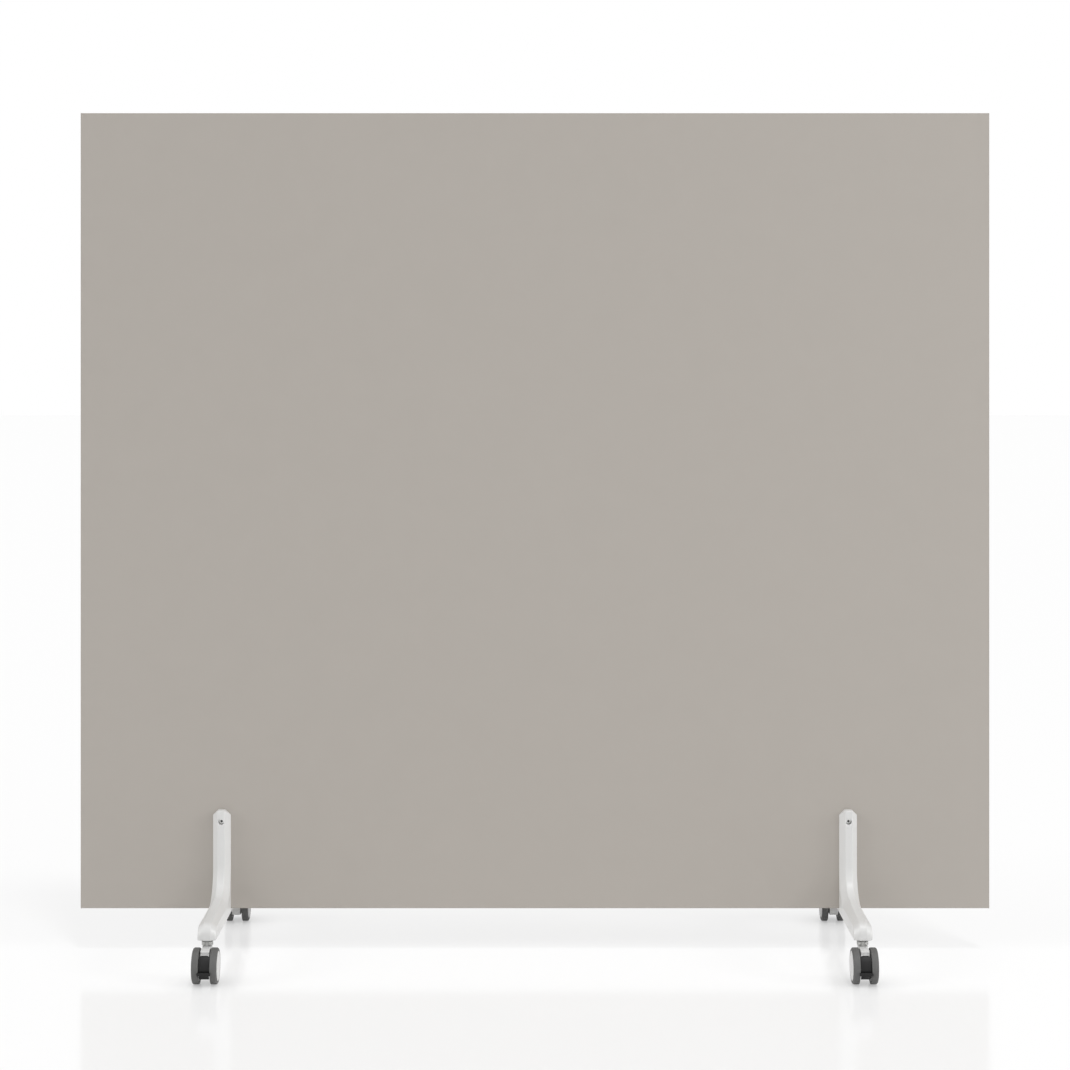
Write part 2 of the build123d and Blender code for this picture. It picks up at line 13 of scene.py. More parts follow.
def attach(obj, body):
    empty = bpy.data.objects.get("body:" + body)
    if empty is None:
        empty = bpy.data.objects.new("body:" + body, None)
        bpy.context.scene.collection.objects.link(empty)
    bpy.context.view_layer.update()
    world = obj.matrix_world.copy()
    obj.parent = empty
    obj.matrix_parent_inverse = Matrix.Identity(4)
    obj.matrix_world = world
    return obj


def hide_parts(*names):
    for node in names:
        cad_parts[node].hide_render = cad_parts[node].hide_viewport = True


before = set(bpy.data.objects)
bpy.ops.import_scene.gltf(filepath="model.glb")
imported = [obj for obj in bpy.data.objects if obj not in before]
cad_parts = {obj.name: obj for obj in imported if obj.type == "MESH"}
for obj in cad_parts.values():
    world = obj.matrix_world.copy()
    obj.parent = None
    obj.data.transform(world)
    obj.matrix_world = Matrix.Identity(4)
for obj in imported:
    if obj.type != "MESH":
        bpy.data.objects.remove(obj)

LOG = logging.getLogger("divider")
MM = 0.001
FULL_TURN = 2 * math.pi
WHITE = (1, 1, 1, 1)
BOARD_HALF = 9.5 * MM
FOOT_CENTRE = 551 * MM
CLAMP_HEIGHT = 231 * MM
CLAMP_WALL = 3 * MM
# Points of a mesh that are nearer than this, in metres, are one point.
MERGE_DISTANCE = 1e-7
# A full channel, the share where sRGB turns from a line to a curve, and both of their values.
SRGB_FULL, SRGB_KNEE, SRGB_SLOPE, SRGB_OFFSET, SRGB_POWER = 255, 0.04045, 12.92, 0.055, 2.4
# Places of a Mix node's colour sockets, whose names it also gives to other sockets.
MIX_FIRST, MIX_SECOND, MIX_RESULT = 6, 7, 2


class Corner(Enum):
    """The four casters, by the end of the foot that they stand under."""

    FRONT_LEFT = "front_left"
    FRONT_RIGHT = "front_right"
    REAR_LEFT = "rear_left"
    REAR_RIGHT = "rear_right"

    @property
    def right(self) -> int:
        """One at the right foot, minus one at the left foot."""
        return 1 if self.value.endswith("right") else -1

    @property
    def turn(self) -> float:
        """Angle about Z from the front caster's place, in radians."""
        return 0.0 if self.value.startswith("front") else math.pi


class Wheel(Enum):
    """The two wheels of a caster: inboard faces the middle of the board."""

    INBOARD = "inboard"
    OUTBOARD = "outboard"


class Cut(Enum):
    """The two ways that one shell works on another."""

    JOIN = "UNION"
    TAKE_OUT = "DIFFERENCE"


# Colour and nodes

def srgb(code: str) -> tuple[float, float, float, float]:
    """Turn an sRGB hex code into linear colour.

    Args:
        code: six hex digits, such as "afa9a2".

    Returns:
        Linear red, green and blue, with an alpha of one.
    """
    channels = np.array([int(code[place:place + 2], 16) for place in (0, 2, 4)]) / SRGB_FULL
    line = channels / SRGB_SLOPE
    curve = ((channels + SRGB_OFFSET) / (1 + SRGB_OFFSET)) ** SRGB_POWER
    return (*np.where(channels <= SRGB_KNEE, line, curve).tolist(), 1.0)


def bare_tree(owner: bpy.types.Material | bpy.types.World) -> bpy.types.NodeTree:
    """Empty node tree of a material or of the world.

    Args:
        owner: material or world that gets nodes.

    Returns:
        Its node tree, with no node in it.
    """
    owner.use_nodes = True
    owner.node_tree.nodes.clear()
    return owner.node_tree


def add_node(
    tree: bpy.types.NodeTree, kind: str,
    inputs: dict[str | int, object] | None = None, **settings: object,
) -> bpy.types.Node:
    """Add one node with its settings, values and links.

    Args:
        tree: node tree that takes the node.
        kind: Blender's name for the node type.
        inputs: value or output socket for each input, by its name or number.
        settings: attributes of the node itself.

    Returns:
        The new node.
    """
    node = tree.nodes.new(kind)
    for name, value in settings.items():
        setattr(node, name, value)
    for name, value in (inputs or {}).items():
        if isinstance(value, bpy.types.NodeSocket):
            tree.links.new(value, node.inputs[name])
        else:
            node.inputs[name].default_value = value
    return node


@dataclass(frozen=True)
class Finish:
    """A surface with an even base colour, slight mottling and a fine relief.

    Attributes:
        name: maker's name of the material.
        slot: the record's slot that the finish belongs to; not used by this script.
        colour: sRGB hex code of the base.
        shade: sRGB hex code that the base drifts to in places.
        roughness: middle of the roughness.
        roughness_swing: how far the roughness drifts either way.
        metallic: one for bare metal, zero otherwise.
        ior: index of refraction of a non-metal.
        drift: size of the colour's patches, in metres.
        grain: size of the relief's bumps, in metres.
        relief: height of the relief, in metres.
        drift_octaves: how often the patches are broken up finer.
        grain_octaves: how often the bumps are broken up finer.
    """

    name: str
    slot: str
    colour: str
    shade: str
    roughness: float
    roughness_swing: float = 0.03
    metallic: float = 0.0
    ior: float = 1.5
    drift: float = 60 * MM
    grain: float = 1 * MM
    relief: float = 0.01 * MM
    drift_octaves: float = 3.0
    grain_octaves: float = 2.0

    @cache
    def material(self) -> bpy.types.Material:
        """Build the material once and hand it out after that.

        Returns:
            The finish as a material.
        """
        made = bpy.data.materials.new(self.name)
        tree = bare_tree(made)
        place = add_node(tree, "ShaderNodeTexCoord").outputs["Object"]
        shader = add_node(tree, "ShaderNodeBsdfPrincipled", {"Metallic": self.metallic})
        if not self.metallic:
            shader.inputs["IOR"].default_value = self.ior
        self.paint(tree, place, shader)
        add_node(tree, "ShaderNodeOutputMaterial", {"Surface": shader.outputs["BSDF"]})
        return made

    def paint(
        self, tree: bpy.types.NodeTree, place: bpy.types.NodeSocket, shader: bpy.types.Node,
    ) -> None:
        """Link colour, roughness and relief into the shader.

        Args:
            tree: node tree of the material.
            place: object coordinates, in metres.
            shader: the shader node to feed.
        """
        patches = add_node(
            tree, "ShaderNodeTexNoise",
            {"Vector": place, "Scale": 1 / self.drift, "Detail": self.drift_octaves},
        )
        colour = add_node(
            tree, "ShaderNodeMix",
            {
                "Factor": patches.outputs["Fac"],
                MIX_FIRST: srgb(self.colour),
                MIX_SECOND: srgb(self.shade),
            },
            data_type="RGBA",
        )
        tree.links.new(colour.outputs[MIX_RESULT], shader.inputs["Base Color"])
        gloss = add_node(
            tree, "ShaderNodeMapRange",
            {
                "Value": patches.outputs["Fac"],
                "To Min": self.roughness - self.roughness_swing,
                "To Max": self.roughness + self.roughness_swing,
            },
        )
        tree.links.new(gloss.outputs["Result"], shader.inputs["Roughness"])
        bumps = add_node(
            tree, "ShaderNodeTexNoise",
            {"Vector": place, "Scale": 1 / self.grain, "Detail": self.grain_octaves},
        )
        relief = add_node(
            tree, "ShaderNodeBump",
            {"Height": bumps.outputs["Fac"], "Strength": 1.0, "Distance": self.relief},
        )
        tree.links.new(relief.outputs["Normal"], shader.inputs["Normal"])


# Melamine-faced board: matt and even, with the faint orange skin of the press plate.
LAMINATE = Finish(
    "warm_grey_melamine", "decor_laminate", "afa9a2", "ada7a0", 0.55,
    grain=1.2 * MM, relief=0.006 * MM,
)
# ABS edge band: the same colour a touch darker, with a finer skin.
EDGE_BAND = Finish(
    "warm_grey_abs", "edge_band", "aba59e", "a8a29b", 0.5, grain=0.8 * MM, relief=0.006 * MM,
)
# Raw chipboard, seen only in the clamp holes.
CHIPBOARD = Finish(
    "raw_chipboard", "chipboard_core", "b79a70", "8d7148", 0.9,
    drift=2 * MM, grain=0.7 * MM, relief=0.15 * MM,
)
# Powder-coated aluminium casting: satin white with a slight orange peel.
POWDER_COAT = Finish(
    "white_powder_coat", "powder_coated_casting", "dadad9", "d8d8d7", 0.38,
    drift=40 * MM, grain=0.9 * MM, relief=0.02 * MM,
)
# Zinc-plated steel: dull silver, slightly mottled.
ZINC = Finish(
    "dull_zinc_plate", "zinc_plated_steel", "bfbfbd", "b2b2b0", 0.42, 0.05,
    metallic=1.0, drift=3 * MM, grain=0.5 * MM,
)
# Zinc plate on the clamp screws and sleeve nuts: smoother than the stems', and painted paler to
# make up for the shade in their recesses.
LIGHTENED_ZINC = Finish(
    "bright_zinc_plate", "zinc_plated_steel", "e4e4e2", "dcdcda", 0.3, 0.04,
    metallic=1.0, drift=2 * MM, grain=0.4 * MM,
)
# Painted shade deep in the sockets of the screws and sleeve nuts: a plug of dull dark grey, kept in
# the black-oxide steel slot.
SOCKET_SHADE_PAINT = Finish(
    "painted_socket_shade", "black_oxide_steel", "505051", "484849", 0.5, 0.05,
    metallic=1.0, drift=2 * MM, grain=0.4 * MM,
)
# Natural acetal, an off-white slippery plastic.
ACETAL = Finish("natural_acetal", "acetal_bush", "e8e6df", "e4e2da", 0.4)
# Light grey moulded nylon, with a fine spark-eroded skin.
GREY_NYLON = Finish(
    "light_grey_nylon", "grey_nylon", "d4d4d3", "d0d0cf", 0.42,
    drift=15 * MM, grain=0.35 * MM, relief=0.01 * MM,
)
# Soft thermoplastic tyre: dull dark grey.
TREAD = Finish(
    "dark_grey_tyre", "grey_tread", "60605f", "5b5b5a", 0.62, 0.05,
    drift=12 * MM, grain=0.5 * MM, relief=0.02 * MM,
)
# Glass-filled black nylon: dark, with a dull moulded sheen.
BLACK_NYLON = Finish(
    "black_glass_filled_nylon", "black_nylon", "1a1a1a", "181818", 0.5, 0.05,
    ior=1.38, drift=10 * MM, grain=0.4 * MM,
)


# Shapes worked out as arrays

def rounded_line(
    corners: list[tuple[float, float]], radii: list[float], arc_steps: int = 6,
    run_steps: int = 1, closed: bool = True,
) -> np.ndarray:
    """Polyline whose corners are arcs that touch both of their runs.

    The arc's centre lies on the corner's bisector at radius over the sine of
    the half angle, and the arc is swept evenly between its two touching points.

    Args:
        corners: places of the sharp corners.
        radii: radius at each corner, zero where it stays sharp.
        arc_steps: pieces of each arc.
        run_steps: pieces of each straight run.
        closed: whether the last corner runs on to the first.

    Returns:
        Points in order, one row each.
    """
    places = np.asarray(corners, float)
    count = len(places)
    share = np.linspace(0, 1, arc_steps + 1)[:, None]
    pieces = []
    for spot in range(count):
        here = places[spot]
        if radii[spot] <= 0 or (not closed and spot in (0, count - 1)):
            pieces.append(here[None])
            continue
        behind = places[spot - 1] - here
        ahead = places[(spot + 1) % count] - here
        behind /= np.linalg.norm(behind)
        ahead /= np.linalg.norm(ahead)
        half = math.acos(np.clip(behind @ ahead, -1, 1)) / 2
        bisector = (behind + ahead) / np.linalg.norm(behind + ahead)
        centre = here + bisector * radii[spot] / math.sin(half)
        first = here + behind * radii[spot] / math.tan(half) - centre
        last = here + ahead * radii[spot] / math.tan(half) - centre
        sweep = math.pi - 2 * half
        swung = np.sin((1 - share) * sweep) * first + np.sin(share * sweep) * last
        pieces.append(centre + swung / math.sin(sweep))
    return joined_runs(pieces, run_steps, closed)


def joined_runs(pieces: list[np.ndarray], run_steps: int, closed: bool) -> np.ndarray:
    """Join pieces of a line, with each straight run between two of them divided evenly.

    Args:
        pieces: the pieces in order, one row for each point.
        run_steps: pieces of each straight run.
        closed: whether the last piece runs on to the first.

    Returns:
        Points in order, one row each.
    """
    inner = (np.arange(1, run_steps) / run_steps)[:, None]
    parts = []
    for spot, piece in enumerate(pieces):
        parts.append(piece)
        if closed or spot < len(pieces) - 1:
            onward = pieces[(spot + 1) % len(pieces)][0]
            parts.append(piece[-1] + (onward - piece[-1]) * inner)
    return np.concatenate(parts)


def even_angles(steps: int) -> np.ndarray:
    """Angles from zero, evenly round a full turn."""
    return np.arange(steps) * FULL_TURN / steps


def turned_grid(profile: np.ndarray, steps: int) -> np.ndarray:
    """Surface of revolution about X.

    Each profile point, given as distance along X and radius, goes round the
    axis at even angles: y is radius times cosine and z is radius times sine.

    Args:
        profile: rows of distance along X and radius.
        steps: points round the axis.

    Returns:
        Grid of points, one row for each profile point.
    """
    angle = even_angles(steps)
    along, radius = profile[:, :1] + 0 * angle, profile[:, 1:]
    return np.stack([along, radius * np.cos(angle), radius * np.sin(angle)], axis=-1)


def bar_grid(
    path: np.ndarray, across: tuple[float, float, float],
    outward: np.ndarray | tuple[float, float, float],
    half_width: np.ndarray, half_height: np.ndarray, corner: float, steps: int = 4,
) -> np.ndarray:
    """Rounded rectangle carried along a path.

    At each place the section is the four corner centres, at half size less the
    corner's radius, plus that radius times the unit circle.

    Args:
        path: middle of the section at each place.
        across: unit vector of the section's width.
        outward: unit vector of the section's height, one or one for each place.
        half_width: half of the width at each place.
        half_height: half of the height at each place.
        corner: radius of the section's corners.
        steps: pieces of each corner's arc.

    Returns:
        Grid of points, one row for each place on the path.
    """
    across = np.broadcast_to(np.asarray(across, float), path.shape)
    outward = np.broadcast_to(np.asarray(outward, float), path.shape)
    quarter = np.arange(4)[:, None]
    angle = (quarter + np.linspace(0, 1, steps + 1)) * math.pi / 2
    middle = (quarter + 1 / 2) * math.pi / 2 + 0 * angle
    side_x, side_y = np.sign(np.cos(middle)).ravel(), np.sign(np.sin(middle)).ravel()
    radius = np.minimum(corner, np.minimum(half_width, half_height))[:, None]
    wide = side_x * (half_width[:, None] - radius) + radius * np.cos(angle).ravel()
    high = side_y * (half_height[:, None] - radius) + radius * np.sin(angle).ravel()
    return path[:, None] + wide[..., None] * across[:, None] + high[..., None] * outward[:, None]


def softened(
    length: float, edge: float, run_steps: int, steps: int = 4,
) -> tuple[np.ndarray, np.ndarray]:
    """Places along a bar whose ends are rounded, and how far the section draws in at each.

    Near an end the place is the edge radius times one minus the cosine, and
    the section draws in by the same radius times one minus the sine.

    Args:
        length: length of the bar.
        edge: radius of the rounding at both ends.
        run_steps: pieces of the straight middle.
        steps: pieces of each rounding.

    Returns:
        Places from zero to the length, and the draw-in at each.
    """
    angle = np.linspace(0, math.pi / 2, steps + 1)
    start, draw = edge * (1 - np.cos(angle)), edge * (1 - np.sin(angle))
    middle = np.linspace(edge, length - edge, run_steps + 1)[1:-1]
    place = np.concatenate([start, middle, length - start[::-1]])
    return place, np.concatenate([draw, 0 * middle, draw[::-1]])


# Meshes

def closed_mesh(name: str, grids: list[tuple[np.ndarray, bool]]) -> bpy.types.Mesh:
    """Closed shells from grids whose columns run round.

    Args:
        name: name of the mesh.
        grids: for each shell its points by row and column, and whether the last
            row joins the first. Otherwise both end rows are closed by a face.

    Returns:
        One mesh of all shells, its faces outwards.
    """
    points, faces, start = [], [], 0
    for grid, ring in grids:
        rows, columns = grid.shape[:2]
        index = start + np.arange(rows * columns).reshape(rows, columns)
        lower = index if ring else index[:-1]
        upper = np.roll(index, -1, 0) if ring else index[1:]
        quads = np.stack([lower, np.roll(lower, -1, 1), np.roll(upper, -1, 1), upper], axis=-1)
        faces += quads.reshape(-1, 4).tolist()
        if not ring:
            faces += [index[0].tolist(), index[-1].tolist()]
        points.append(grid.reshape(-1, 3))
        start += rows * columns
    mesh = bpy.data.meshes.new(name)
    mesh.from_pydata(np.concatenate(points).tolist(), [], faces)
    work = bmesh.new()
    work.from_mesh(mesh)
    bmesh.ops.remove_doubles(work, verts=work.verts, dist=MERGE_DISTANCE)
    bmesh.ops.recalc_face_normals(work, faces=work.faces)
    work.to_mesh(mesh)
    work.free()
    return mesh


def link(thing: bpy.types.Object) -> None:
    """Put an object into the scene."""
    bpy.context.scene.collection.objects.link(thing)


def worked(base: bpy.types.Mesh, tools: list[bpy.types.Mesh], cut: Cut) -> bpy.types.Mesh:
    """Join shells to a mesh, or take them out of it.

    Args:
        base: mesh to work on.
        tools: closed meshes that are joined to it or taken out of it.
        cut: which of the two.

    Returns:
        The new mesh.
    """
    blank = bpy.data.objects.new("blank", base)
    helpers = [bpy.data.objects.new("tool", tool) for tool in tools]
    for thing in (blank, *helpers):
        link(thing)
    for helper in helpers:
        step = blank.modifiers.new("cut", "BOOLEAN")
        step.object, step.operation, step.solver = helper, cut.value, "MANIFOLD"
    graph = bpy.context.evaluated_depsgraph_get()
    made = bpy.data.meshes.new_from_object(blank.evaluated_get(graph))
    for thing in (blank, *helpers):
        bpy.data.objects.remove(thing)
    return made


def add_piece(
    name: str, mesh: bpy.types.Mesh, body: str, finish: Finish, stands_for: str,
    place: Matrix | None = None, sharp: float = 32.0,
) -> bpy.types.Object:
    """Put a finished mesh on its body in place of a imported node.

    Args:
        name: name of the piece.
        mesh: its mesh, which is copied.
        body: body that it rides on.
        finish: finish that it takes.
        stands_for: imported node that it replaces.
        place: where the mesh goes, if it isn't there yet.
        sharp: angle in degrees from which an edge stays sharp.

    Returns:
        The piece's object.
    """
    own = mesh.copy()
    own.name = name
    if place is not None:
        own.transform(place)
    own.shade_smooth()
    own.set_sharp_from_angle(angle=math.radians(sharp))
    own.materials.clear()
    own.materials.append(finish.material())
    piece = bpy.data.objects.new(name, own)
    link(piece)
    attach(piece, body)
    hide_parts(stands_for)
    LOG.info("%s: %d faces, %s", name, len(own.polygons), finish.name)
    return piece


def dress(node: str, finish: Finish) -> None:
    """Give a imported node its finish, in every material slot.

    Args:
        node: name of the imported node.
        finish: finish that it takes.
    """
    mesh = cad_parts[node].data
    mesh.materials.clear()
    mesh.materials.append(finish.material())
    LOG.info("%s wears %s", node, finish.name)


# The divider

@dataclass
class Board:
    """The laminated board: core, two laminates and four edge bands."""

    core: str = "panel_core"
    faces: tuple[str, ...] = ("panel_front_laminate", "panel_back_laminate")
    bands: tuple[str, ...] = (
        "edge_band_top", "edge_band_bottom", "edge_band_left", "edge_band_right",
    )

    def build(self) -> None:
        """Dress every layer of the board."""
        dress(self.core, CHIPBOARD)
        for face in self.faces:
            dress(face, LAMINATE)
        for band in self.bands:
            dress(band, EDGE_BAND)


@dataclass
class SaddleFoot:
    """One cast foot: two uprights, two arms and the web under the board.

    Distances are from the board's face outwards and heights from the floor,
    but ridge and side_height are heights above the underside, and ridge_fall
    is in degrees. The section across the foot is a flat crown between two
    sloping facets, and side values are those of the wall where a facet ends.
    """

    node: str
    centre: float
    width: float = 31 * MM
    crown: float = 12 * MM
    underside: float = 69.5 * MM
    seat: float = 76.5 * MM
    top: float = 250.8 * MM
    upright: float = 14 * MM
    side_upright: float = 2 * MM
    shoulder_drop: float = 9.3 * MM
    reach: float = 205 * MM
    side_setback: float = 4 * MM
    ridge: float = 41.5 * MM
    ridge_fall: float = 4.1
    side_height: float = 21 * MM
    bend: float = 48 * MM
    side_bend: float = 60 * MM
    nose: float = 18 * MM
    side_nose: float = 17.48 * MM
    lip_round: float = 1.1 * MM
    toe_round: float = 0.9 * MM
    crown_round: float = 2 * MM
    edge_round: float = 2 * MM
    clamp_height: float = CLAMP_HEIGHT
    bore: float = 5 * MM
    bore_wall: float = CLAMP_WALL
    bore_lip: float = 0.45 * MM
    screw_hole: float = 4.2 * MM
    wall: float = 3.5 * MM
    pocket_start: float = 12 * MM
    pocket_end: float = 181 * MM
    rib: float = 3 * MM
    bays: int = 3
    stem_distance: float = 191 * MM
    stem_hole: float = 5.05 * MM
    stem_depth: float = 21.8 * MM
    neck_hole: float = 7.3 * MM
    neck_depth: float = 2.05 * MM
    outline_arc_steps: int = 14
    outline_run_steps: int = 10
    section_arc_steps: int = 5
    section_run_steps: int = 4
    lip_steps: int = 4
    screw_hole_steps: int = 64
    stem_hole_steps: int = 48

    def outline(
        self, proud: float, ridge: float, fall: float, reach: float,
        radii: tuple[float, float], top: float,
    ) -> np.ndarray:
        """Side outline of the front half, from the seat over the top and the arm to the toe.

        Args:
            proud: how far the upright stands proud of the board.
            ridge: height of the arm's top above the underside, at the board.
            fall: how far the arm's top falls, in degrees.
            reach: distance of the toe.
            radii: radius of the bend and of the nose.
            top: height of the upright's top.

        Returns:
            Distances from the board's face and heights.
        """
        slope = math.tan(math.radians(fall))
        base = self.underside
        corners = [
            (0, self.seat), (0, top), (proud, top), (proud, base + ridge - proud * slope),
            (reach, base + ridge - reach * slope), (reach, base), (reach / 2, base),
        ]
        arcs = [0, 0, self.lip_round, *radii, self.toe_round, 0]
        return rounded_line(
            corners, arcs, self.outline_arc_steps, self.outline_run_steps, closed=False,
        )

    def side_view(self, crown_share: np.ndarray) -> np.ndarray:
        """Closed side outline at each share of the way from the side wall to the crown.

        Formula: wall outline plus the share times the difference to the ridge's
        outline, followed by its mirror image behind the board.

        Args:
            crown_share: one at the crown, zero at the side wall, below zero further in.

        Returns:
            Grid of Y and Z, one row for each share.
        """
        ridge = self.outline(
            self.upright, self.ridge, self.ridge_fall, self.reach, (self.bend, self.nose), self.top,
        )
        wall = self.outline(
            self.side_upright, self.side_height, 0, self.reach - self.side_setback,
            (self.side_bend, self.side_nose), self.top - self.shoulder_drop,
        )
        half = wall + crown_share[:, None, None] * (ridge - wall)
        front = np.stack([-BOARD_HALF - half[..., 0], half[..., 1]], axis=-1)
        back = front[:, ::-1] * (-1, 1)
        return np.concatenate([front, back], axis=1)

    def skin(self) -> np.ndarray:
        """Outer surface: X and the share of the crown follow a rounded section across the foot.

        Returns:
            Grid of points, one row for each place across the foot.
        """
        rise, crown, edge = self.upright - self.side_upright, self.crown / 2, self.width / 2
        steps = self.section_run_steps
        section = rounded_line(
            [(0, rise), (crown, rise), (edge, 0), (edge, -self.edge_round)],
            [0, self.crown_round, self.edge_round, 0], self.section_arc_steps, steps, closed=False,
        )[:-steps]
        section = np.concatenate([section[:0:-1] * (-1, 1), section])
        outlines = self.side_view(section[:, 1] / rise)
        across = np.broadcast_to(section[:, :1], outlines.shape[:2])
        return np.concatenate([across[..., None], outlines], axis=-1)

    def bay(self, start: float, end: float) -> np.ndarray:
        """Hollow between two ribs under the front arm: a six-sided section at both ends.

        Args:
            start: distance of its near end from the board's face.
            end: distance of its far end.

        Returns:
            Grid of points, one row for each end.
        """
        slope = math.tan(math.radians(self.ridge_fall))
        crown, edge = self.crown / 2, self.width / 2 - self.wall
        low, side = self.underside - self.wall, self.underside + self.side_height - self.wall
        ends = []
        for distance in (start, end):
            ridge = self.underside + self.ridge - distance * slope - self.wall
            corners = [
                (-edge, low), (edge, low), (edge, side),
                (crown, ridge), (-crown, ridge), (-edge, side),
            ]
            ends.append([(x, -BOARD_HALF - distance, z) for x, z in corners])
        return np.array(ends)

    def tools(self) -> list[bpy.types.Mesh]:
        """Everything that is taken out: hollows, stem holes, counterbores and the screw's hole.

        Returns:
            A closed mesh for each of them, at the front and at the back.
        """
        bore_start, bore_end = BOARD_HALF + self.bore_wall, BOARD_HALF + self.upright
        open_end, open_radius = bore_end + self.wall, self.bore + self.wall
        flare = rounded_line(
            [
                (bore_start, 0), (bore_start, self.bore), (bore_end, self.bore),
                (bore_end, open_radius), (open_end, open_radius), (open_end, 0),
            ],
            [0, 0, self.bore_lip, 0, 0, 0], self.lip_steps, closed=False,
        )
        through = np.array([(BOARD_HALF / 2, self.screw_hole), (bore_end, self.screw_hole)])
        holes = []
        for profile in (flare, through):
            turned = turned_grid(profile, self.screw_hole_steps)
            holes.append(turned[..., [1, 0, 2]] + (0, 0, self.clamp_height))
        stem_place = (0, -BOARD_HALF - self.stem_distance, self.underside)
        for depth, radius in ((self.stem_depth, self.stem_hole), (self.neck_depth, self.neck_hole)):
            profile = np.array([(-self.wall, radius), (depth, radius)])
            turned = turned_grid(profile, self.stem_hole_steps)
            holes.append(turned[..., [1, 2, 0]] + stem_place)
        step = (self.pocket_end - self.pocket_start) / self.bays
        for number in range(self.bays):
            near = self.pocket_start + step * number
            far = self.pocket_start + step * (number + 1)
            first, last = number == 0, number == self.bays - 1
            holes.append(self.bay(
                near + (0 if first else self.rib / 2), far - (0 if last else self.rib / 2),
            ))
        return [
            closed_mesh("hole", [(hole * (1, turn, 1), False)])
            for hole in holes for turn in (-1, 1)
        ]

    def build(self) -> None:
        """Cast the foot, cut its holes and put it in place."""
        casting = worked(closed_mesh(self.node, [(self.skin(), False)]), self.tools(), Cut.TAKE_OUT)
        place = Matrix.Translation((self.centre, 0, 0))
        add_piece(f"{self.node}_casting", casting, "divider", POWDER_COAT, self.node, place)


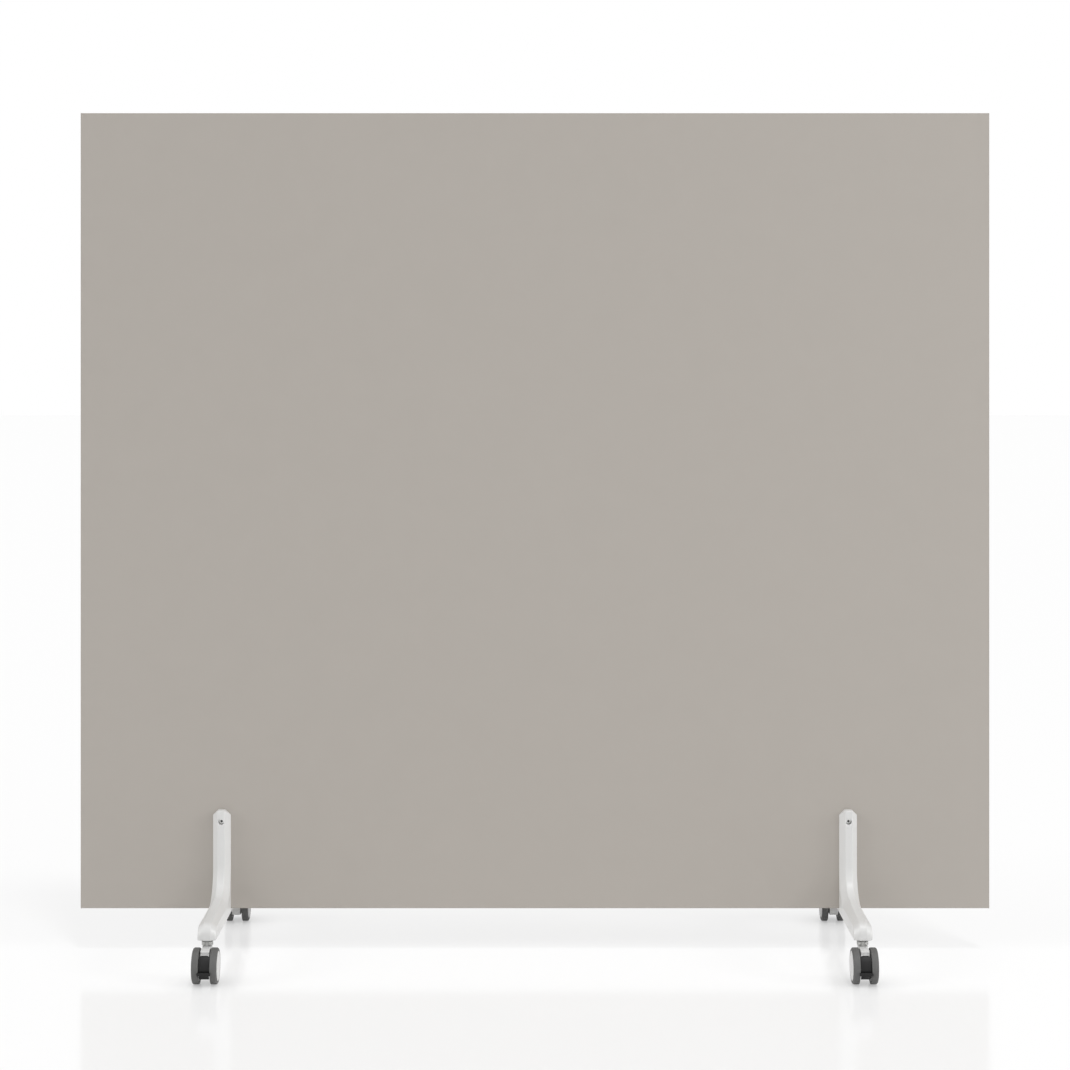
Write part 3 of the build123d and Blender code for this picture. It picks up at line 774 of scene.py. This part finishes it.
@dataclass
class ClampFasteners:
    """The socket screws from the front and the sleeve nuts from the back.

    Head, shank, sleeve and sleeve_bore are radii, and so is socket, from its
    middle to a flat. The gap is what lies between a sleeve and the far head.
    """

    height: float = CLAMP_HEIGHT
    wall: float = CLAMP_WALL
    head: float = 4.7 * MM
    head_height: float = 3 * MM
    edge: float = 0.5 * MM
    root: float = 0.125 * MM
    socket: float = 2 * MM
    socket_depth: float = 2.2 * MM
    socket_lip: float = 0.2 * MM
    shade_plug_top: float = 0.9 * MM
    shade_plug_gap: float = 0.03 * MM
    shank: float = 2.95 * MM
    sleeve: float = 4 * MM
    sleeve_bore: float = 3 * MM
    sleeve_gap: float = 1 * MM
    thread_share: float = 0.75
    arc_steps: int = 4
    steps: int = 96

    def hex_radius(self, angle: np.ndarray) -> np.ndarray:
        """Hexagon's radius: half its width over the cosine of the angle from the nearest flat."""
        sixth = FULL_TURN / 6
        return self.socket / np.cos((angle + sixth / 2) % sixth - sixth / 2)

    def head_grid(self, behind: list[tuple[float, float]], radii: list[float]) -> np.ndarray:
        """Head with a hexagonal socket, then whatever lies behind the head.

        The rows go from the socket's bottom out to the head's face, over its
        rim and on along the outside. Inside the socket the radius is the
        hexagon's, and outside it is the profile's.

        Args:
            behind: corners behind the head, as distance from the head's face and radius.
            radii: rounding of each of these corners.

        Returns:
            Grid of distance behind the face along Y, and X and Z across.
        """
        rim = [(0, self.head - 2 * self.edge), (0, self.head), (self.head_height, self.head)]
        outside = rounded_line(
            rim + behind, [0, self.edge, self.root, *radii], self.arc_steps, closed=False,
        )
        angle = even_angles(self.steps)
        hexagon = self.hex_radius(angle)
        depths = [self.socket_depth, self.socket_depth - self.socket_lip, self.socket_lip, 0.0]
        socket = np.stack([hexagon - self.socket_lip, hexagon, hexagon, hexagon + self.socket_lip])
        along = np.concatenate([depths, outside[:, 0]])[:, None] + 0 * angle
        radius = np.concatenate([socket, outside[:, 1:] + 0 * angle])
        return np.stack([radius * np.cos(angle), along, radius * np.sin(angle)], axis=-1)

    def screw(self) -> np.ndarray:
        """Screw with its head's face towards the front.

        Returns:
            Grid of points, at the clamp's height in the middle of the board.
        """
        seat = BOARD_HALF + self.wall
        engaged = (2 * seat - self.sleeve_gap) * self.thread_share
        length = self.head_height + self.sleeve_gap + engaged
        shank = [(self.head_height, self.shank), (length, self.shank), (length, 0)]
        return self.head_grid(shank, [0, self.edge, 0]) + (0, -seat - self.head_height, self.height)

    def sleeve_nut(self) -> np.ndarray:
        """Sleeve nut with its head's face towards the back and its bore open to the front.

        Returns:
            Grid of points, at the clamp's height in the middle of the board.
        """
        seat = BOARD_HALF + self.wall
        end = self.head_height + 2 * seat - self.sleeve_gap
        sleeve = [
            (self.head_height, self.sleeve), (end, self.sleeve), (end, self.sleeve_bore),
            (self.head_height, self.sleeve_bore), (self.head_height, 0),
        ]
        turned = self.head_grid(sleeve, [0, self.edge / 2, 0, 0, 0])
        return turned * (1, -1, 1) + (0, seat + self.head_height, self.height)

    def shade_plug(self) -> np.ndarray:
        """Painted shade in a front socket: a dark hexagonal plug from below its mouth to its
        bottom.

        Returns:
            Grid of points, one row for each end.
        """
        angle = even_angles(self.steps)
        radius = self.hex_radius(angle) - self.shade_plug_gap
        depth = np.array([[self.shade_plug_top], [self.socket_depth - self.shade_plug_gap]]) + 0 * angle
        across, up = radius * np.cos(angle) + 0 * depth, radius * np.sin(angle) + 0 * depth
        place = (0, -BOARD_HALF - self.wall - self.head_height, self.height)
        return np.stack([across, depth, up], axis=-1) + place

    def build(self) -> None:
        """Make both screws as one piece, both sleeve nuts as another, and put a dark plug of
        painted shade in their sockets.
        """
        kinds = {"clamp_screws": (self.screw(), 1), "sleeve_nuts": (self.sleeve_nut(), -1)}
        for node, (turned, facing) in kinds.items():
            looks = {
                # Painted light: the heads' zinc is paler than the stems' to make up for the shade
                # in their recesses.
                "turned": (turned, LIGHTENED_ZINC),
                # Painted shade: a dark plug deep in each socket stands for the shade there.
                "painted_shade_plug": (self.shade_plug() * (1, facing, 1), SOCKET_SHADE_PAINT),
            }
            for look, (grid, finish) in looks.items():
                pair = [(grid + (side * FOOT_CENTRE, 0, 0), False) for side in (-1, 1)]
                add_piece(f"{node}_{look}", closed_mesh(node, pair), "divider", finish, node)


@dataclass
class TwinWheel:
    """One wheel about X, drawn from the caster's middle outwards: hub, tyre and cap.

    Rim, bead, boss, bore, groove and dimple are radii. Inner, outer, boss_start
    and boss_end are distances from the caster's middle.
    """

    inner: float = 9.6 * MM
    outer: float = 21.25 * MM
    radius: float = 30 * MM
    rim: float = 24.5 * MM
    shoulder: float = 3.5 * MM
    inner_shoulder: float = 1.2 * MM
    key: float = 0.9 * MM
    key_width: float = 5 * MM
    bead: float = 25.6 * MM
    bead_depth: float = 0.35 * MM
    hub_wall: float = 3 * MM
    hub_setback: float = 0.6 * MM
    web: float = 2.4 * MM
    boss: float = 8.5 * MM
    bore: float = 4.05 * MM
    boss_start: float = 7.95 * MM
    boss_end: float = 19.25 * MM
    rib_count: int = 6
    rib_width: float = 2.2 * MM
    rib_height: float = 2.6 * MM
    rib_blend: float = 0.4 * MM
    cap_edge: float = 1.6 * MM
    cap_round: float = 0.5 * MM
    cap_crown: float = 0.9 * MM
    spigot_wall: float = 1.4 * MM
    spigot_depth: float = 2.4 * MM
    groove: float = 19.5 * MM
    groove_depth: float = 0.4 * MM
    groove_width: float = 0.7 * MM
    dimple: float = 5.5 * MM
    dimple_depth: float = 0.3 * MM
    dimple_blend: float = 0.25 * MM
    small_round: float = 0.3 * MM
    steps: int = 128
    tyre_arc_steps: int = 8
    hub_arc_steps: int = 3
    web_places: int = 18
    dome_places: int = 64
    dome_edge_places: int = 6

    def key_profile(self) -> list[tuple[float, float]]:
        """Corners of the rib that holds the tyre.

        Returns:
            Distance along X and radius of each corner.
        """
        middle = (self.inner + self.outer) / 2
        start, end = middle - self.key_width / 2, middle + self.key_width / 2
        high = self.rim + self.key
        return [(start, self.rim), (start, high), (end, high), (end, self.rim)]

    def tyre(self) -> bpy.types.Mesh:
        """Tyre: rounded shoulders and a shallow bead line on both sides.

        Returns:
            Its closed mesh.
        """
        depth = self.bead_depth
        low, high = self.bead - depth, self.bead + depth
        corners = [
            (self.outer, self.rim), (self.outer, low), (self.outer - depth, self.bead),
            (self.outer, high), (self.outer, self.radius), (self.inner, self.radius),
            (self.inner, high), (self.inner + depth, self.bead), (self.inner, low),
            (self.inner, self.rim), *self.key_profile(),
        ]
        radii = [0, 0, 0, 0, self.shoulder, self.inner_shoulder, 0, 0, 0, 0, 0, 0, 0, 0]
        profile = rounded_line(corners, radii, self.tyre_arc_steps)
        return closed_mesh("tyre", [(turned_grid(profile, self.steps), True)])

    def hub(self) -> bpy.types.Mesh:
        """Hub: boss, web with radial ribs on its inner side, rim and key.

        The web's inner face is drawn out by the rib height where the distance
        from a rib's middle line, radius times the sine of the angle to it, is
        under half a rib's width. At a rib's side it rises by a soft step: three
        times the squared share of the way less twice its cube.

        Returns:
            Its closed mesh.
        """
        web_start = (self.inner + self.outer - self.cap_edge) / 2 - self.web / 2
        web_end = web_start + self.web
        rim_in, rim_end = self.rim - self.hub_wall, self.outer - self.cap_edge
        rim_start = self.inner + self.hub_setback
        loop = [
            (self.boss_start, self.bore), (self.boss_end, self.bore), (self.boss_end, self.boss),
            (web_end, self.boss), (web_end, rim_in), (rim_end, rim_in), (rim_end, self.rim),
            *self.key_profile()[::-1],
            (rim_start, self.rim), (rim_start, rim_in), (web_start, rim_in),
        ]
        small = self.small_round
        rounds = [0, small, small, 2 * small, 2 * small, small, small, 0, 0, 0, 0, small, small, 0]
        outside = rounded_line(loop, rounds, self.hub_arc_steps, closed=False)
        web_radius = np.linspace(rim_in, self.boss, self.web_places)[1:]
        inside = np.stack([web_start + 0 * web_radius, web_radius], axis=-1)
        profile = np.concatenate([outside, inside, [(self.boss_start, self.boss)]])
        steps = 2 * self.steps
        grid = turned_grid(profile, steps)
        ribbed = slice(len(outside) - 1, len(outside) + len(inside))
        angle, sector = even_angles(steps), FULL_TURN / self.rib_count
        away = np.abs((angle + sector / 2) % sector - sector / 2)
        lateral = profile[ribbed, 1:] * np.sin(away)
        share = np.clip((self.rib_width / 2 - lateral) / self.rib_blend + 1 / 2, 0, 1)
        grid[ribbed, :, 0] -= self.rib_height * share * share * (3 - 2 * share)
        return closed_mesh("hub", [(grid, True)])

    def cap(self) -> bpy.types.Mesh:
        """Cap: a shallow dome with a moulded groove and a dimple, and a spigot behind.

        The dome falls as the radius squared over twice its sphere's radius. The
        groove is a bell curve of the radius and the dimple a soft step of it.

        Returns:
            Its closed mesh.
        """
        edge = self.rim - self.cap_round
        radius = np.linspace(0, edge, self.dome_places)
        sphere = (self.rim ** 2 + self.cap_crown ** 2) / (2 * self.cap_crown)
        dome = self.outer + self.cap_crown - radius ** 2 / (2 * sphere)
        groove = self.groove_depth * np.exp(-((radius - self.groove) / self.groove_width) ** 2)
        dimple = self.dimple_depth / (1 + np.exp((radius - self.dimple) / self.dimple_blend))
        face = np.stack([dome - groove - dimple, radius], axis=-1)
        angle = np.linspace(0, math.pi / 2, self.dome_edge_places)[1:]
        fallen, out = self.cap_round * (1 - np.cos(angle)), self.cap_round * np.sin(angle)
        rim = np.stack([dome[-1] - fallen, edge + out], axis=-1)
        inner, spigot = self.outer - self.cap_edge, self.rim - self.hub_wall
        tip = inner - self.spigot_depth
        behind = [
            (inner, self.rim), (inner, spigot), (tip, spigot), (tip, spigot - self.spigot_wall),
            (inner, spigot - self.spigot_wall), (inner, 0),
        ]
        profile = np.concatenate([face, rim, behind])
        return closed_mesh("cap", [(turned_grid(profile, self.steps), False)])


@dataclass
class BrakePedal:
    """The toe pedal: curved shell, ledge with grip ribs, skirt, and the arm to its pin.

    It is drawn about the axle, with Y to the back and Z up. Inner, hub and pin
    are radii, and angles are in degrees above straight ahead.
    """

    inner: float = 25.1 * MM
    wall: float = 1.9 * MM
    width: float = 18.5 * MM
    top_angle: float = 52.0
    toe_angle: float = -44.5
    corner: float = 6 * MM
    skirt_step: float = 0.9 * MM
    skirt_overlap: float = 2.0
    ledge_drop: float = 5 * MM
    ledge_height: float = 4.6 * MM
    ledge_width: float = 22.6 * MM
    ledge_front: float = 32.2 * MM
    lip_back: float = 30.05 * MM
    edge: float = 0.5 * MM
    pin_rise: float = 10.5 * MM
    pin: float = 2.05 * MM
    hub: float = 4 * MM
    arm_width: float = 6 * MM
    arm_top_share: float = 0.42
    arm_foot_share: float = 0.08
    grip_count: int = 3
    grip_height: float = 0.35 * MM
    grip_share: float = 0.5
    grip_margin: float = 1 * MM
    edge_share: float = 0.9
    shell_steps: int = 40
    bar_steps: int = 12
    arm_places: int = 8
    pin_steps: int = 48

    def curved(
        self, low: float, high: float, outer: float, width: float, corner: float,
    ) -> np.ndarray:
        """Plate bent round the axle, its two upper corners rounded.

        Near its top the half width falls back by the corner's radius less the
        root of that radius squared less the square of the overlap.

        Args:
            low: angle of its foot above straight ahead, in degrees.
            high: angle of its top.
            outer: radius of its outer face.
            width: its width.
            corner: radius of its upper corners.

        Returns:
            Grid of points.
        """
        middle, half = (self.inner + outer) / 2, (outer - self.inner) / 2
        edge = min(self.edge, half * self.edge_share)
        length = middle * math.radians(high - low)
        place, draw = softened(length, edge, self.shell_steps)
        over = np.clip(place - length + corner, 0, corner)
        fall = corner - np.sqrt(np.maximum(corner ** 2 - over ** 2, 0))
        angle = math.radians(low) + place / middle
        outward = np.stack([0 * angle, -np.cos(angle), np.sin(angle)], axis=-1)
        half_width = np.maximum(width / 2 - fall - draw, edge)
        return bar_grid(middle * outward, (1, 0, 0), outward, half_width, half - draw, edge)

    def cross_bar(
        self, front: float, back: float, low: float, high: float, width: float,
    ) -> np.ndarray:
        """Straight bar along X with all its edges rounded.

        Args:
            front: place of its front along Y.
            back: place of its back along Y.
            low: height of its underside.
            high: height of its top.
            width: its length along X.

        Returns:
            Grid of points.
        """
        half_y, half_z = (back - front) / 2, (high - low) / 2
        edge = min(self.edge, half_y * self.edge_share, half_z * self.edge_share)
        place, draw = softened(width, edge, self.bar_steps)
        middle = (0 * place + front + half_y, 0 * place + low + half_z)
        path = np.stack([place - width / 2, *middle], axis=-1)
        return bar_grid(path, (0, 1, 0), (0, 0, 1), half_y - draw, half_z - draw, edge)

    def arm(self) -> np.ndarray:
        """Arm from the pin's hub to the inside of the shell, where it ends square to the radius.

        Its height and its direction change evenly on the way from the hub to
        the shell.

        Returns:
            Grid of points.
        """
        reach = self.inner + self.wall / 2
        high, low = reach * self.arm_top_share, reach * self.arm_foot_share
        start = np.array([0, 0, self.pin_rise])
        end = np.array([0, -math.sqrt(reach ** 2 - ((high + low) / 2) ** 2), (high + low) / 2])
        share = np.linspace(0, 1, self.arm_places)
        along, radial = ((way / np.linalg.norm(way)) for way in (end - start, end))
        half = self.hub + share * ((high - low) / 2 - self.hub)
        path = start + share[:, None] * (end - start)
        way = along + share[:, None] * (radial - along)
        down = np.stack([0 * share, -way[:, 2], way[:, 1]], axis=-1)
        down /= np.linalg.norm(way, axis=1)[:, None]
        return bar_grid(path, (1, 0, 0), down, 0 * share + self.arm_width / 2, half, self.edge)

    def mesh(self) -> bpy.types.Mesh:
        """Join the pedal's plates and bars into one shell and drill it for its pin.

        Returns:
            Its closed mesh.
        """
        outer = self.inner + self.wall
        top, low = -self.ledge_drop, -self.ledge_drop - self.ledge_height
        ledge_angle = math.degrees(math.asin((top + low) / 2 / outer))
        shell = self.curved(ledge_angle, self.top_angle, outer, self.width, self.corner)
        bars = [
            self.curved(
                self.toe_angle, ledge_angle + self.skirt_overlap, outer - self.skirt_step,
                self.width - 2 * self.skirt_step, self.edge,
            ),
            self.cross_bar(-self.ledge_front, -self.inner - self.edge, low, top, self.width),
            self.cross_bar(-self.ledge_front, -self.lip_back, low, top, self.ledge_width),
            self.arm(),
        ]
        pitch = (self.ledge_front - outer) / (self.grip_count + 1)
        half = pitch * self.grip_share / 2
        for number in range(1, self.grip_count + 1):
            middle = -outer - pitch * number
            bars.append(self.cross_bar(
                middle - half, middle + half, top - self.edge, top + self.grip_height,
                self.width - 2 * self.grip_margin,
            ))
        barrel, drill = (
            turned_grid(np.array([(-half, radius), (half, radius)]), self.pin_steps)
            + (0, 0, self.pin_rise)
            for half, radius in ((self.arm_width / 2, self.hub), (self.width, self.pin))
        )
        joined = worked(
            closed_mesh("shell", [(shell, False)]),
            [closed_mesh("bar", [(bar, False)]) for bar in (*bars, barrel)], Cut.JOIN,
        )
        return worked(joined, [closed_mesh("drill", [(drill, False)])], Cut.TAKE_OUT)


@dataclass
class Casters:
    """The four braked twin-wheel casters, each under one end of a foot."""

    stem_distance: float = 200.5 * MM
    trail: float = 22 * MM
    axle_height: float = 30 * MM
    wheel: TwinWheel = field(default_factory=TwinWheel)
    pedal: BrakePedal = field(default_factory=BrakePedal)

    def axle_place(self, corner: Corner) -> Matrix:
        """Place of a caster's axle, turned to the back for a rear caster.

        Args:
            corner: the caster.

        Returns:
            Transform from the middle of the axle.
        """
        front = Matrix.Translation((0, -self.stem_distance - self.trail, self.axle_height))
        across = Matrix.Translation((corner.right * FOOT_CENTRE, 0, 0))
        return across @ Matrix.Rotation(corner.turn, 4, "Z") @ front

    def build(self) -> None:
        """Make each moulding once and set it at the four corners."""
        mouldings = {
            "tread": (self.wheel.tyre(), TREAD),
            "hub": (self.wheel.hub(), GREY_NYLON),
            "cap": (self.wheel.cap(), GREY_NYLON),
        }
        pedal = self.pedal.mesh()
        for corner in Corner:
            name, place = corner.value, self.axle_place(corner)
            for steel in ("stem", "axle", "pedal_pin"):
                dress(f"{name}_{steel}", ZINC)
            dress(f"{name}_swivel_bush", ACETAL)
            dress(f"{name}_housing", GREY_NYLON)
            node = f"{name}_brake_pedal"
            add_piece(f"{node}_moulding", pedal, f"{name}_pedal", BLACK_NYLON, node, place)
            for wheel in Wheel:
                away = corner.right if wheel is Wheel.OUTBOARD else -corner.right
                flip = Matrix.Rotation(corner.turn + (0 if away > 0 else math.pi), 4, "Z")
                side = f"{name}_{wheel.value}"
                for part, (mesh, finish) in mouldings.items():
                    node = f"{side}_{part}"
                    add_piece(f"{node}_moulding", mesh, f"{side}_wheel", finish, node, place @ flip)


# The studio

@dataclass(frozen=True)
class Lamp:
    """A lamp that is turned to the middle of the board.

    Attributes:
        name: name of the lamp.
        strength: a sun's strength, or a soft box's power in watts.
        azimuth: degrees to the right of straight ahead, as seen from the board.
        elevation: degrees above the level.
        softness: degrees that a sun spans in the sky.
        distance: metres to a soft box, zero for a sun.
        width: metres across a soft box.
    """

    name: str
    strength: float
    azimuth: float
    elevation: float
    softness: float = 0.0
    distance: float = 0.0
    width: float = 0.0

    def hang(self, aim: float) -> None:
        """Turn the lamp to the board and hang it at its distance.

        Args:
            aim: height of the middle of the board.
        """
        data = bpy.data.lights.new(self.name, "AREA" if self.distance else "SUN")
        data.energy = self.strength
        if self.distance:
            data.size = self.width
        else:
            data.angle = math.radians(self.softness)
        lamp = bpy.data.objects.new(self.name, data)
        around = Matrix.Rotation(math.radians(self.azimuth), 4, "Z")
        up = Matrix.Rotation(math.radians(90 - self.elevation), 4, "X")
        away = Matrix.Translation((0, 0, self.distance))
        lamp.matrix_world = Matrix.Translation((0, 0, aim)) @ around @ up @ away
        link(lamp)


@dataclass
class Studio:
    """White floor and world, soft lamps and the camera of the photograph.

    Attributes:
        distance: camera to the board's front face.
        height: camera above the floor.
        scale: pixels of the photograph to a metre on the board's front face.
        frame_pixels: width and height of the photograph.
        horizon_pixel: row of the photograph level with the lens.
        sensor: width of the camera's sensor, in millimetres.
        floor_size: metres across the floor.
        floor_colour: sRGB hex code of the floor, as the object's light falls on it.
        floor_gloss: share of the floor that mirrors.
        floor_roughness: roughness of that mirror.
        floor_white_share: share of plain white that camera and gloss see in place of the floor.
        floor_white: strength of that white.
        painted_shadow_reach: metres from the floor within which a piece darkens that white, as a
            painted contact shadow.
        painted_shadow_depth: how far that painted shadow darkens it, as a share.
        painted_shadow_samples: rays that look for a piece near the floor, for that painted shadow.
        world_strength: light of the world on the object.
        aim: height of the middle of the board.
        lamps: the lamps.
    """

    distance: float = 4.3
    height: float = 1.08
    scale: float = 568.0
    frame_pixels: int = 1070
    horizon_pixel: float = 338.3
    sensor: float = 36.0
    floor_size: float = 60.0
    floor_colour: str = "ffffff"
    floor_gloss: float = 0.16
    floor_roughness: float = 0.12
    floor_white_share: float = 0.723
    floor_white: float = 1.06
    painted_shadow_reach: float = 0.06
    painted_shadow_depth: float = 0.44
    painted_shadow_samples: int = 8
    world_strength: float = 0.505
    aim: float = 0.78
    lamps: tuple[Lamp, ...] = (
        Lamp("key", 0.7, 23.0, 68.6, softness=8.0),
        Lamp("right_side", 0.78, 74.0, 22.0, softness=12.0),
        Lamp("right_soft_box", 15.0, 54.0, 21.0, distance=4.0, width=1.0),
        Lamp("left_side", 0.84, -74.0, 25.0, softness=20.0),
    )

    def camera(self) -> None:
        """Place the camera level, square to the board, with a shift for the framing."""
        data = bpy.data.cameras.new("photo_camera")
        data.sensor_width = self.sensor
        data.lens = self.sensor * self.scale * self.distance / self.frame_pixels
        data.shift_y = (self.horizon_pixel - self.frame_pixels / 2) / self.frame_pixels
        data.clip_end = 2 * self.floor_size
        camera = bpy.data.objects.new("photo_camera", data)
        camera.location = (0, -BOARD_HALF - self.distance, self.height)
        camera.rotation_euler = (math.radians(90), 0, 0)
        link(camera)
        bpy.context.scene.camera = camera

    def shown(self, tree: bpy.types.NodeTree) -> bpy.types.NodeSocket:
        """Tell the rays that show the background, by camera, gloss or glass, from those that light.

        Args:
            tree: node tree of the floor or the world.

        Returns:
            Output that is one for a ray that shows the background, zero otherwise.
        """
        path = add_node(tree, "ShaderNodeLightPath")
        seen = path.outputs["Is Camera Ray"]
        for kind in ("Is Glossy Ray", "Is Transmission Ray"):
            either = add_node(
                tree, "ShaderNodeMath", {0: seen, 1: path.outputs[kind]}, operation="MAXIMUM",
            )
            seen = either.outputs[0]
        return seen

    def floor(self) -> None:
        """Lay a white floor that keeps the shadow and a faint reflection, and whose white is
        darkened near the pieces as a painted contact shadow.
        """
        half = self.floor_size / 2
        mesh = bpy.data.meshes.new("floor")
        corners = [(-half, -half, 0), (half, -half, 0), (half, half, 0), (-half, half, 0)]
        mesh.from_pydata(corners, [], [(0, 1, 2, 3)])
        floor = bpy.data.objects.new("floor", mesh)
        link(floor)
        material = bpy.data.materials.new("white_floor")
        tree = bare_tree(material)
        matt = add_node(tree, "ShaderNodeBsdfDiffuse", {"Color": srgb(self.floor_colour)})
        # Painted shade: ambient occlusion darkens the floor's white near the pieces, a painted
        # contact shadow.
        openness = add_node(
            tree, "ShaderNodeAmbientOcclusion",
            {"Distance": self.painted_shadow_reach}, samples=self.painted_shadow_samples,
        )
        painted_contact_shadow = add_node(
            tree, "ShaderNodeMapRange",
            {
                "Value": openness.outputs["AO"],
                "To Min": self.floor_white * (1 - self.painted_shadow_depth),
                "To Max": self.floor_white,
            },
        )
        white = add_node(
            tree, "ShaderNodeEmission", {"Color": WHITE, "Strength": painted_contact_shadow.outputs["Result"]},
        )
        share = add_node(
            tree, "ShaderNodeMath", {0: self.shown(tree), 1: self.floor_white_share},
            operation="MULTIPLY",
        )
        pale = add_node(
            tree, "ShaderNodeMixShader",
            {"Fac": share.outputs[0], 1: matt.outputs["BSDF"], 2: white.outputs["Emission"]},
        )
        gloss = add_node(tree, "ShaderNodeBsdfGlossy", {"Roughness": self.floor_roughness})
        mixed = add_node(
            tree, "ShaderNodeMixShader",
            {"Fac": self.floor_gloss, 1: pale.outputs["Shader"], 2: gloss.outputs["BSDF"]},
        )
        add_node(tree, "ShaderNodeOutputMaterial", {"Surface": mixed.outputs["Shader"]})
        mesh.materials.append(material)

    def world(self) -> None:
        """Light the object evenly from all round, and show white to camera and gloss."""
        world = bpy.data.worlds.new("studio")
        bpy.context.scene.world = world
        tree = bare_tree(world)
        soft, white = (
            add_node(tree, "ShaderNodeBackground", {"Color": WHITE, "Strength": strength})
            for strength in (self.world_strength, 1.0)
        )
        mixed = add_node(
            tree, "ShaderNodeMixShader",
            {
                "Fac": self.shown(tree),
                1: soft.outputs["Background"],
                2: white.outputs["Background"],
            },
        )
        add_node(tree, "ShaderNodeOutputWorld", {"Surface": mixed.outputs["Shader"]})

    def build(self) -> None:
        """Make the camera first, then floor, world and lamps."""
        self.camera()
        self.floor()
        self.world()
        for lamp in self.lamps:
            lamp.hang(self.aim)
        bpy.context.scene.view_settings.view_transform = "Standard"


def main() -> None:
    """Build the studio and the divider."""
    logging.basicConfig(level=logging.INFO)
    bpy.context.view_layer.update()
    Studio().build()
    Board().build()
    SaddleFoot("left_foot", -FOOT_CENTRE).build()
    SaddleFoot("right_foot", FOOT_CENTRE).build()
    ClampFasteners().build()
    Casters().build()


if __name__ == "__main__":
    main()
